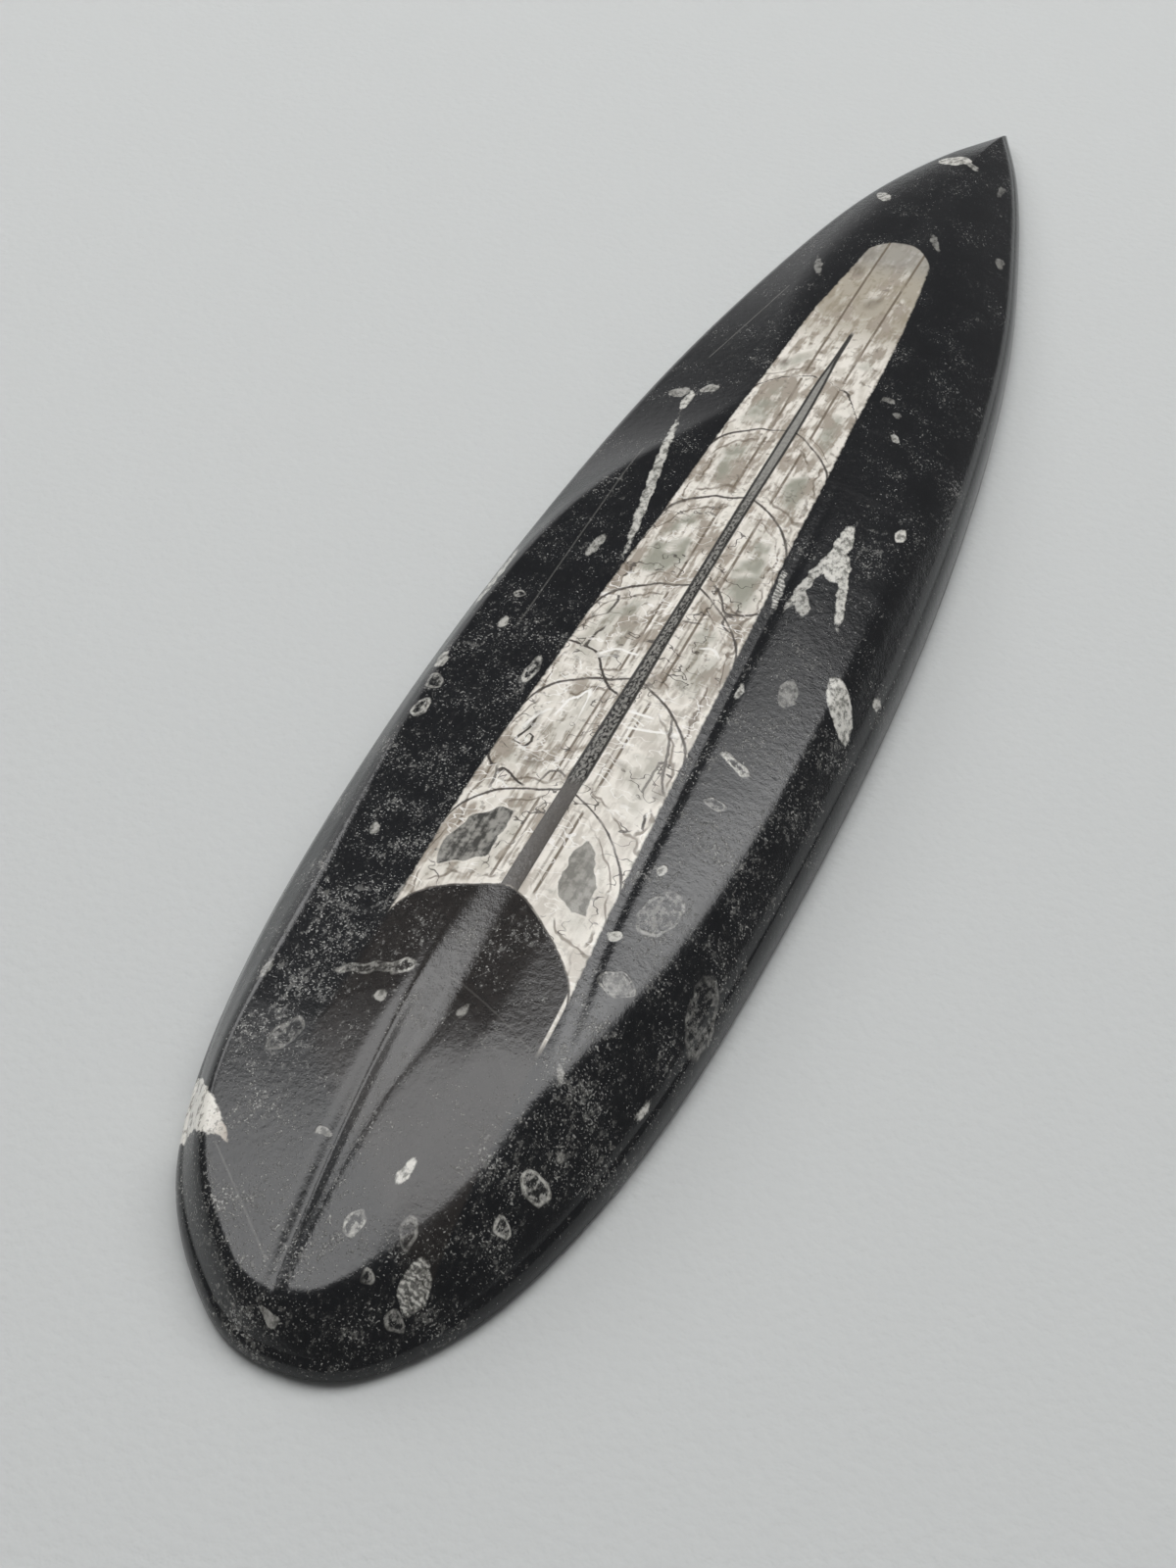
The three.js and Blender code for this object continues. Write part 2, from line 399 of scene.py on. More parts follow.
# %% Shell chart
SHELL_LEFT = [
    (60, -4.3), (53.7, -4.8), (45, -5.5), (40, -5.95), (30, -6.3), (20, -6.7), (10, -6.9),
    (0, -7.1), (-10, -7.6), (-20, -7.8), (-30, -8.05), (-40, -8.2), (-50, -7.95), (-60, -7.6),
]
SHELL_RIGHT = [
    (60, 2.0), (51.6, 2.75), (48, 3.2), (40, 4.05), (30, 4.8), (20, 5.2), (10, 5.8), (0, 6.25),
    (-10, 6.9), (-20, 7.4), (-30, 7.9), (-40, 8.4), (-50, 9.05), (-60, 9.75), (-70, 9.9),
]
SHELL_TOP = (-1.6, 56.0, 0.22)
TUBE_CENTRE = [
    (60, -0.9), (35, -0.5), (26, -0.35), (20, -0.15), (0, 0.1), (-20, 0.35), (-45, 0.45),
    (-60, 0.45),
]
TUBE_HALF_WIDTH = [
    (37, 0.05), (34.5, 0.12), (30, 0.2), (26, 0.4), (20, 0.52), (0, 0.5), (-10, 0.5), (-25, 0.68),
    (-35, 0.78), (-49, 0.9), (-60, 0.9),
]
SEPTA = [
    (-61.2, 0), (-49.5, 1), (-37.8, 2), (-23.1, 3), (-9.4, 4), (4.7, 5), (16.4, 6), (26.3, 7),
    (120, 7.9),
]
DROP_LEFT = [(30, 4.3), (5, 4.5), (-9, 5.4), (-23, 5.8), (-38, 6.6), (-50, 6.3), (-60, 6.2)]
DROP_RIGHT = [(30, 6.6), (5, 6.4), (-9, 8.0), (-38, 7.9), (-50, 9.3), (-60, 9.4)]


def chart_shell(x, y):
    """Where each point lies on the cut shell."""
    left, right, centre = along(y, SHELL_LEFT), along(y, SHELL_RIGHT), along(y, TUBE_CENTRE)
    off = x - centre
    u = np.clip(np.where(off > 0, off / (right - centre), off / (left - centre)), 0, 1)
    bow = 1 - np.sqrt(1 - u * u)
    drop = np.where(off > 0, (u + bow) / 2 * along(y, DROP_RIGHT), bow * along(y, DROP_LEFT))
    starts, numbers = np.array(SEPTA, float).T
    chamber = np.interp(y + drop, starts, numbers)
    # Near the edges the arcs are steep, so the way across a chamber is shorter than along y.
    spacing = np.interp(chamber, numbers[:-1], np.diff(starts)) * (1 - 0.7 * u**4)
    dome = SHELL_TOP[1] - SHELL_TOP[2] * (x - SHELL_TOP[0]) ** 2 - y
    inside = np.minimum(np.minimum(x - left, right - x), dome * 0.8)
    return {
        "chart": (off, chamber, inside),
        "gaps": (spacing, np.abs(off) - along(y, TUBE_HALF_WIDTH), right - x),
    }


print(f"{len(SEPTA) - 2} septa")

# %% [markdown]
# ## Fossil scraps in the limestone
#
# Black limestone of this kind is full of broken shells, sea lily stems and little cones that
# sank into the same mud. The polish cuts them to white slivers, ovals and rings. Each is an
# ellipse at its own place and angle; for each point the nearest one and the distance to its
# rim are stored. Angular shapes are bounded by straight lines instead: the smallest distance
# to any of the lines is the distance to the rim.

# %% Fossil scraps
FILLED = [  # x, y, half width, half length, turn in degrees, brightness
    (10.35, 2.3, 0.8, 3.3, 3, 1.0), (10.8, -0.6, 1.3, 2.2, 15, 1.0),
    (9.3, -3.4, 0.45, 5.2, -7, 0.8), (12.3, -3.0, 0.5, 5.4, 15, 0.9),
    (9.8, -7.0, 0.75, 1.7, 20, 0.7), (16.9, -16.3, 1.15, 3.1, 27, 1.0),
    (14.4, 7.6, 0.55, 0.95, 0, 1.0), (9.3, 20.7, 0.55, 0.7, 20, 0.7),
    (-12.5, 19.6, 0.5, 1.8, 5, 0.9), (-10.0, 4.9, 0.5, 11.6, 10, 0.85),
    (-11.0, 22.2, 1.0, 0.75, 30, 0.55), (-14.0, 21.1, 1.2, 0.9, 20, 0.5),
    (-11.0, -6.6, 0.5, 1.8, -8, 0.55), (-2.8, 78.9, 1.9, 1.5, 0, 0.9),
    (-0.6, 77.9, 0.5, 1.5, 55, 0.5), (-7.6, 67.0, 0.6, 1.8, 35, 0.75),
    (1.5, 57.4, 0.35, 1.8, 28, 0.3), (8.4, 60.3, 0.5, 1.1, 10, 0.3),
    (-8.8, 48.2, 0.4, 2.3, 22, 0.3), (4.0, 75.3, 0.35, 1.4, 0, 0.2),
    (-17.4, -26.3, 0.6, 1.2, 5, 0.7), (-14.4, -19.8, 0.45, 0.9, 0, 0.7),
    (-18.2, -13.5, 0.55, 4.8, 0, 0.75), (-13.2, -47.2, 0.4, 0.8, 30, 0.6),
    (-7.8, -52.2, 0.3, 1.4, -6, 0.5), (8.9, -20.3, 0.32, 0.9, 5, 0.8),
    (10.8, -42.4, 0.5, 0.5, 0, 0.7), (10.1, -50.5, 0.8, 0.5, 10, 0.85),
    (17.4, -61.6, 0.22, 1.0, -12, 0.9), (19.2, -12.0, 0.32, 0.9, 5, 0.8),
    (12.7, -18.2, 0.9, 1.7, 5, 0.3), (-4.3, -63.0, 0.5, 0.7, 10, 0.55),
    (-14.1, -63.8, 0.4, 0.9, 0, 0.4), (2.7, -62.6, 0.35, 0.7, 0, 0.4),
    (4.75, -76.6, 0.45, 1.2, -8, 1.0), (-2.7, -75.6, 0.8, 0.4, 20, 0.45),
    (0.2, -89.4, 0.9, 0.35, -10, 0.5), (11.8, -64.5, 0.35, 0.8, 15, 0.5),
    (14.0, -69.5, 0.35, 0.5, 0, 0.5), (6.8, 26.0, 0.8, 0.5, 30, 0.35),
    (8.3, 24.4, 0.5, 0.5, 0, 0.3), (12.2, -54.7, 1.3, 1.0, 0, 0.3),
]
RIBBED = [(7.35, -6.6, 0.4, 3.0, 9, 0.85), (8.85, -83.4, 1.0, 1.8, -6, 0.9)]
RINGS = [
    (-16.6, -29.2, 0.85, 1.1, 10, 0.5), (-16.3, -32.7, 0.7, 1.3, -5, 1.0),
    (-14.6, -15.7, 0.6, 0.55, 0, 0.6), (-9.2, -24.8, 0.55, 1.8, 0, 0.9),
    (11.8, -28.4, 0.55, 1.6, 68, 1.0), (11.9, -33.4, 1.0, 0.7, 10, 0.45),
    (12.4, -46.4, 1.6, 3.1, -12, 0.4), (12.2, -54.7, 1.75, 1.4, 10, 0.7),
    (18.2, -51.5, 1.1, 3.7, 8, 0.3), (-6.2, -60.7, 0.5, 3.2, -64, 0.45),
    (-4.0, -59.7, 0.65, 1.1, -25, 0.8), (3.0, -81.5, 0.75, 1.1, 0, 0.7),
    (13.4, -72.6, 1.05, 1.2, -20, 0.85), (12.5, -76.5, 0.65, 0.65, 0, 0.8),
    (7.0, -80.6, 0.6, 1.3, 20, 0.4), (8.4, -85.9, 0.7, 0.6, 20, 0.5),
    (5.7, -84.7, 0.5, 0.5, 0, 0.5), (-9.6, -69.0, 1.0, 2.0, -20, 0.25),
]
STAINS = [  # on the shell: x, y, half width, half length, turn, darkness
    (-5.3, 28.2, 0.6, 1.1, 0, 0.75), (-0.5, 42.2, 1.0, 1.7, -10, 0.5),
    (-4.3, 48.3, 0.9, 1.5, 0, 0.55), (-4.2, 52.0, 0.7, 1.5, 0, 0.35),
    (1.8, 29.3, 0.3, 0.7, 0, 0.4), (-1.2, 50.4, 1.7, 0.22, 4, 0.35),
    (7.5, -35.2, 0.7, 0.95, 10, 0.55), (-4.4, -35.1, 1.0, 0.6, -20, 0.6),
    (2.9, -33.3, 0.22, 1.1, 75, 0.6), (-5.9, -31.0, 0.3, 1.8, 5, 0.45),
    (4.3, -22.6, 0.5, 0.35, 20, 0.5), (-5.7, -4.4, 0.2, 0.25, 0, 0.7),
    (3.2, -8.3, 0.2, 1.0, -20, 0.5), (-1.5, -36.2, 0.9, 0.35, 50, 0.4),
]
RIM_AT = 0.84
POCKETS = [
    [(-2.95, -41.0), (-4.2, -41.0), (-6.3, -43.0), (-7.3, -46.8), (-6.5, -49.0), (-3.0, -46.8)],
    [(4.2, -42.3), (3.6, -44.6), (4.1, -48.6), (6.2, -50.4), (7.4, -49.9), (6.9, -46.9),
     (5.4, -43.8)],
]
EDGE_PATCH = [
    (-17.5, -71.2), (-22, -74), (-20, -77.6), (-14.2, -78.35), (-8.9, -79.25), (-9.3, -78.2),
]
CRUMBS = [(-92, 0.075), (-55, 0.07), (-25, 0.055), (0, 0.03), (25, 0.012), (92, 0.0)]


def ellipses(x, y, shapes):
    """For each shape and point: 0 in the middle of the ellipse, 1 on its rim."""
    reached = []
    for at_x, at_y, width, height, turn, _ in shapes:
        c, s = math.cos(math.radians(turn)), math.sin(math.radians(turn))
        across = (x - at_x) * c + (y - at_y) * s
        lengthways = (y - at_y) * c - (x - at_x) * s
        reached.append(np.hypot(across / width, lengthways / height))
    return np.array(reached)


def cut_out(x, y, corners):
    """Distance inside a convex shape, given by its corners counterclockwise."""
    inside = np.full(x.shape, np.inf)
    for (ax, ay), (bx, by) in zip(corners, corners[1:] + corners[:1]):
        side = math.hypot(bx - ax, by - ay)
        inside = np.minimum(inside, ((x - ax) * (ay - by) + (y - ay) * (bx - ax)) / side)
    return inside


def chart_scraps(x, y):
    """Nearest scrap, nearest ring, pockets, patch, stains and crumbs for each point."""
    # The points are waved about by a tenth of a millimetre, so that no ellipse is perfect.
    x = x + 0.07 * np.sin(2.3 * y + 0.9 * x) + 0.05 * np.sin(4.1 * y - 2.2 * x)
    y = y + 0.15 * np.sin(2.9 * x + 1.4 * y)
    shapes = FILLED + RIBBED
    widths = np.array([shape[2] for shape in shapes])[:, None]
    depth = (1 - ellipses(x, y, shapes)) * widths
    nearest = depth.argmax(0)
    light = np.array([shape[5] for shape in shapes])[nearest]
    ribbed = (nearest >= len(FILLED)).astype(float)
    rings = ellipses(x, y, RINGS)
    around = rings.argmin(0)
    rim = (rings.min(0) - RIM_AT) * np.array([ring[2] for ring in RINGS])[around]
    ring_light = np.array([ring[5] for ring in RINGS])[around]
    pocket = np.maximum(*[cut_out(x, y, corners) for corners in POCKETS])
    dark = np.array([stain[5] for stain in STAINS])[:, None]
    stain = (np.clip((1.15 - ellipses(x, y, STAINS)) / 0.75, 0, 1) * dark).max(0)
    return {
        "scraps": (depth.max(0), light, ribbed),
        "rings": (rim, ring_light, cut_out(x, y, EDGE_PATCH)),
        "marks": (pocket, stain, along(y, CRUMBS)),
    }


print(f"{len(FILLED + RIBBED)} scraps and {len(RINGS)} rings")

# %% [markdown]
# ## Veins and painted glints
#
# Fine cracks in the calcite healed with dark mineral. The pale lines are drawn the same way,
# but they are painted glints: white where the polish catches the light, on the shell and along
# the crease at the left edge. The largest lines are drawn one by one. Each is a curve, and for
# each point the nearest curve and the signed distance to it are stored: a signed distance passes
# evenly through zero, so even a thin line stays sharp between two points of the mesh. A line
# across the stone has its places as (x, y); one that runs lengthways has them as (y, x).

# %% Veins and painted glints
SLOPE_STEP = 0.1
FADE_OUT = 0.4
FAR = 9

# A strength below 0 makes a pale line: a painted glint, not a vein.
VEINS_AND_GLINTS = [  # strength (below 0: pale), whether it runs lengthways, and its places
    (1.0, False, [(-7.8, -19.9), (-6.35, -20.05), (-4.6, -20.7), (-3, -23.1), (-1.65, -24.6),
                  (-0.5, -25.4)]),
    (1.0, False, [(-8.3, -35.7), (-7.2, -36.9), (-5.8, -37.0), (-4.6, -37.8), (-3.7, -38.2)]),
    (0.8, False, [(-2.7, -37.6), (-2.4, -36.3), (-1.65, -35.7), (-0.6, -36.3)]),
    (0.7, False, [(1.0, -14.6), (2.8, -14.3)]),
    (0.9, False, [(1.9, -8.9), (3.1, -10.2), (3.9, -11.7), (5.4, -11.7), (7.0, -10.5)]),
    (0.9, True, [(-12.1, -6.2), (-12.9, -5.9), (-15.4, -6.05)]),
    (0.9, True, [(-16.8, -5.3), (-18.3, -5.9), (-19.8, -6.05)]),
    (0.7, True, [(-15.6, -7.4), (-16.2, -7.0), (-16.9, -7.5)]),
    (0.8, True, [(-8.0, -6.8), (-9.2, -6.4), (-10.2, -6.9)]),
    (1.0, True, [(-29.5, -6.5), (-30.4, -6.2), (-31.9, -6.3), (-33.5, -6.9)]),
    (1.0, True, [(-32.2, -5.5), (-33.4, -5.4), (-34.2, -5.9)]),
    (0.8, True, [(-36.7, -6.8), (-38.4, -6.35), (-39.5, -6.3)]),
    (0.8, True, [(-26.6, 5.1), (-29.5, 6.0), (-31.6, 6.6), (-33.4, 7.0), (-35.1, 7.9)]),
    (0.7, True, [(-31.9, 6.15), (-36.0, 6.15)]),
    (1.0, True, [(-37.6, 7.3), (-39.5, 7.8)]),
    (0.9, True, [(-12.6, 4.4), (-13.6, 4.6), (-14.3, 5.6)]),
    (-0.9, False, [(-4.9, -29.3), (-4.4, -27.0), (-3.9, -26.6), (-2.9, -26.7), (-2.7, -28.5)]),
    (-0.9, False, [(1.3, -27.3), (3.65, -27.3)]),
    (-0.9, False, [(1.9, -29.2), (3.9, -28.9), (6.3, -28.1)]),
    (-0.8, False, [(-4.6, -20.6), (-3.1, -19.6), (-1.0, -19.8)]),
    (-0.7, False, [(3.9, -17.4), (5.1, -17.0), (5.9, -17.7)]),
    (-0.8, True, [(-28.6, -5.5), (-30.7, -6.6), (-31.6, -6.8)]),
    (-0.08, False, [(0.0, -59.7), (4.5, -61.6), (9.0, -63.8)]),
    (-0.12, False, [(-10.0, -79.2), (-2.0, -86.0)]),
    (-0.15, True, [(10.0, -13.0), (-20.0, -13.0)]),
    (-0.18, True, [(44.0, -10.4), (28.0, -13.6)]),
]


def chart_veins_and_glints(x, y):
    """Signed distance to the nearest line, the darkness of a vein there, and the strength of a
    painted glint.
    """
    offsets, strengths = [], []
    for strength, lengthways, rows in VEINS_AND_GLINTS:
        here, off = (y, x) if lengthways else (x, y)
        rise = along(here + SLOPE_STEP, rows) - along(here - SLOPE_STEP, rows)
        slope = rise / (2 * SLOPE_STEP)
        offset = (off - along(here, rows)) / np.hypot(1, slope)
        ends = [row[0] for row in rows]
        inside = np.minimum(here - min(ends), max(ends) - here)
        within = np.clip(inside / FADE_OUT + 0.5, 0, 1)
        strengths.append(strength * within * np.clip(2.4 - np.abs(offset) / FADE_OUT, 0, 1))
        offsets.append(np.where(within > 0, offset, FAR))
    nearest = np.abs(offsets).argmin(0)[None]
    offset = np.take_along_axis(np.array(offsets), nearest, 0)[0]
    strength = np.take_along_axis(np.array(strengths), nearest, 0)[0]
    return {"veins_and_glints": (offset, np.maximum(strength, 0), np.maximum(-strength, 0))}


print(f"{len(VEINS_AND_GLINTS)} veins")

# %% [markdown]
# ## Storing the charts
#
# A mesh can carry any numbers on its points, as named attributes, and a material can read
# them. Three numbers fit in one vector attribute.

# %% Store the charts
def store(piece, measures):
    """Write the measures onto the points of the mesh, three to an attribute."""
    for name, columns in measures.items():
        layer = piece.data.attributes.new(name, "FLOAT_VECTOR", "POINT")
        layer.data.foreach_set("vector", np.stack(columns, 1).astype(np.float32).ravel())


corners = np.empty(len(stone.data.vertices) * 3)
stone.data.vertices.foreach_get("co", corners)
point_x, point_y, _ = corners.reshape(-1, 3).T / MM
store(stone, chart_shell(point_x, point_y))
store(stone, chart_scraps(point_x, point_y))
store(stone, chart_veins_and_glints(point_x, point_y))
print(f"three charts stored on {len(point_x)} points")

# %% [markdown]
# ## Wires that add up like numbers
#
# The patterns of the stone are long formulas, and a formula is hard to read as loose nodes.
# These helpers let Python write the nodes: a Wire is one output socket, and adding or
# multiplying two wires adds the Math node that does it. The result is an ordinary node tree
# that can be opened and changed in the shader editor.

# %% Node helpers
class Wire:
    """One output socket, with arithmetic that adds Math nodes."""

    def __init__(self, tree, socket):
        self.tree = tree
        self.socket = socket

    def maths(self, operation, *others):
        made = self.tree.nodes.new("ShaderNodeMath")
        made.operation = operation
        for slot, value in zip(made.inputs, (self, *others)):
            feed(self.tree, slot, value)
        return Wire(self.tree, made.outputs[0])

    def __add__(self, other):
        return self.maths("ADD", other)

    def __sub__(self, other):
        return self.maths("SUBTRACT", other)

    def __mul__(self, other):
        return self.maths("MULTIPLY", other)

    def __abs__(self):
        return self.maths("ABSOLUTE")

    def most(self, other):
        return self.maths("MAXIMUM", other)


def feed(tree, slot, value):
    """Link a wire to a slot, or type a number, vector or colour into it."""
    if isinstance(value, Wire):
        tree.links.new(value.socket, slot)
    elif isinstance(value, tuple) and slot.type == "RGBA":
        slot.default_value = (*value, 1)
    else:
        slot.default_value = value


def tint(red, green, blue):
    """Linear colour of the display values 0 to 255."""
    shares = [part / 255 for part in (red, green, blue)]
    return tuple(p / 12.92 if p < 0.04 else ((p + 0.055) / 1.055) ** 2.4 for p in shares)


def fade(value, start, end, low=0.0, high=1.0):
    """Smooth step: low where value is at start, high where it is at end."""
    made = value.tree.nodes.new("ShaderNodeMapRange")
    made.interpolation_type = "SMOOTHSTEP"
    if start > end:
        start, end, low, high = end, start, high, low
    for slot, number in zip(made.inputs, (value, start, end, low, high)):
        feed(value.tree, slot, number)
    return Wire(value.tree, made.outputs[0])


def mix(share, first, second, kind, sockets, result):
    """Mix node of one kind: first where share is 0, second where it is 1."""
    made = share.tree.nodes.new("ShaderNodeMix")
    made.data_type = kind
    for number, value in zip(sockets, (share, first, second)):
        feed(share.tree, made.inputs[number], value)
    return Wire(share.tree, made.outputs[result])


def pick(share, first, second):
    """Mix of two plain values."""
    return mix(share, first, second, "FLOAT", (0, 2, 3), 0)


def blend(share, first, second):
    """Mix of two colours."""
    return mix(share, first, second, "RGBA", (0, 6, 7), 2)


def parts(vector):
    """The x, y and z of a vector."""
    made = vector.tree.nodes.new("ShaderNodeSeparateXYZ")
    feed(vector.tree, made.inputs[0], vector)
    return [Wire(vector.tree, socket) for socket in made.outputs]


def measures(tree, name):
    """The three numbers stored under one name on the points of the mesh."""
    made = tree.nodes.new("ShaderNodeAttribute")
    made.attribute_name = name
    return parts(Wire(tree, made.outputs["Vector"]))


def noise(place, size, detail=1.0, roughness=0.5, seed=0.0, turn=0.0):
    """Soft noise around 0.5, with lumps of about size millimetres."""
    spread = size if isinstance(size, tuple) else (size, size, size)
    scaled = place.tree.nodes.new("ShaderNodeMapping")
    scaled.vector_type = "TEXTURE"
    feed(place.tree, scaled.inputs[0], place)
    scaled.inputs["Location"].default_value = (seed * 7.3 * spread[0], 0, 0)
    scaled.inputs["Rotation"].default_value = (0, 0, math.radians(turn))
    scaled.inputs["Scale"].default_value = spread
    made = place.tree.nodes.new("ShaderNodeTexNoise")
    feed(place.tree, made.inputs["Vector"], Wire(place.tree, scaled.outputs[0]))
    made.inputs["Scale"].default_value = 1.0
    made.inputs["Detail"].default_value = detail
    made.inputs["Roughness"].default_value = roughness
    return Wire(place.tree, made.outputs[0])


def hairline(value, width):
    """Thin line where a soft noise passes through its middle value."""
    return fade(abs(value - 0.5), width, width * 0.3)


print("node helpers ready")

# %% [markdown]
# ## Black limestone
#
# The ground is nearly black, because the mud was rich in carbon. It is dusted with crumbs of
# shell, thick at the round end and thin towards the point. Two noises of different size,
# cut off high, leave only such crumbs. The scraps are laid over them.

# %% Black limestone
INK, SLATE = tint(9, 10, 13), tint(23, 25, 28)
MUD_DARK, MUD_LIGHT = tint(25, 23, 22), tint(52, 47, 44)
DUST, CRUMB, GRIT = tint(110, 109, 105), tint(118, 117, 113), tint(188, 187, 182)
SCRAP_GREY, SCRAP_WHITE = tint(118, 117, 111), tint(214, 212, 205)
CHIP_GREY, CHIP_WHITE, CHIP_BROWN = tint(150, 146, 138), tint(228, 225, 217), tint(140, 122, 104)
GLINT_LINE_GREY = tint(170, 168, 162)
RIB_SPACING = 0.45


def limestone_paint(place, shake, clouds, chamber):
    """Colour of the black limestone, and how much of it is crumbs and scraps."""
    tree = place.tree
    _, _, density = measures(tree, "marks")
    depth, light, ribbed = measures(tree, "scraps")
    rim, ring_light, patch = measures(tree, "rings")
    extra = density + (clouds - 0.5) * 0.42 - chamber * 0.035
    speckle = noise(place, (0.5, 0.75, 0.6), 3, 0.7, 2)
    coarse = fade(speckle + extra, 0.66, 0.76)
    fine = fade(noise(place, 0.2, 1, 0.6, 3) + extra, 0.7, 0.84)
    ground = blend(clouds, INK, SLATE)
    mud = blend(shake, MUD_DARK, MUD_LIGHT)
    ground = blend(chamber * 0.75, ground, mud)
    ground = blend(fade(speckle + extra, 0.52, 0.75) * 0.1, ground, DUST)
    ground = blend(coarse * 0.45, ground, CRUMB)
    ground = blend(fine * 0.55, ground, GRIT)

    x, y, _ = parts(place)
    waves = ((y + shake) * (2 * math.pi / RIB_SPACING)).maths("SINE")
    ribs = fade(waves, 0.6, -0.6) * ribbed * -0.7 + 1
    filled = fade(depth + (speckle - 0.5) * 0.3, -0.06, 0.1) * light * ribs
    ring = fade(abs(rim + (speckle - 0.5) * 0.3), 0.17, 0.05) * ring_light
    ring = ring * fade(clouds + shake, 0.8, 1.1, 0.25, 1.0)
    heart = fade(rim, 0.05, -0.15) * ring_light * fade(speckle, 0.45, 0.62, 0.05, 0.6)
    white = filled.most(ring).most(heart)
    calcite = blend(fade(speckle, 0.34, 0.6), SCRAP_GREY, SCRAP_WHITE)
    ground = blend(white, ground, calcite)

    chip = fade(patch + (shake - 0.5) * 0.6, 0.0, 0.2)
    chip_paint = blend(fade(speckle, 0.36, 0.5), CHIP_GREY, CHIP_WHITE)
    rusty = fade(x + (speckle - 0.5) * 6, -11.4, -9.6) * 0.6
    ground = blend(chip, ground, blend(rusty, chip_paint, CHIP_BROWN))
    # Pale lines on the dark stone, such as the one along the crease at the left edge, are painted
    # highlights.
    vein_and_glint, _, pale = measures(tree, "veins_and_glints")
    ground = blend(fade(abs(vein_and_glint), 0.12, 0.04) * pale, ground, GLINT_LINE_GREY)
    return ground, coarse.most(fine).most(white)


print("limestone paint ready")

# %% [markdown]
# ## Calcite of the shell
#
# After the animal died, clear and milky calcite grew inwards from every wall of the empty
# chambers. Next to the walls it is cream white, in the middle of a chamber it is greenish and
# lets light through, and iron drew brown growth lines along it. The walls themselves are dark
# lines. All of this follows the chart: distance to a septum, to the tube and to the edge.

# %% Shell paint
CREAM = tint(163, 154, 142)
MILK = tint(230, 225, 216)
GLASSY = tint(148, 148, 135)
BEIGE = tint(150, 141, 123)
BROWN = tint(104, 92, 78)
WALL_DARK = tint(70, 64, 59)
SHADED = tint(112, 105, 95)
PAINTED_SHEEN = tint(240, 235, 226)
TOP_GREY = tint(146, 145, 141)
GLINT = tint(248, 246, 242)
STAIN = tint(92, 84, 72)
CRYSTAL_DARK = tint(70, 69, 66)
CRYSTAL_LIGHT = tint(150, 148, 142)
CRYSTAL_PALE = tint(176, 173, 165)
GROWTH_LINES = (2.2, 1.65)


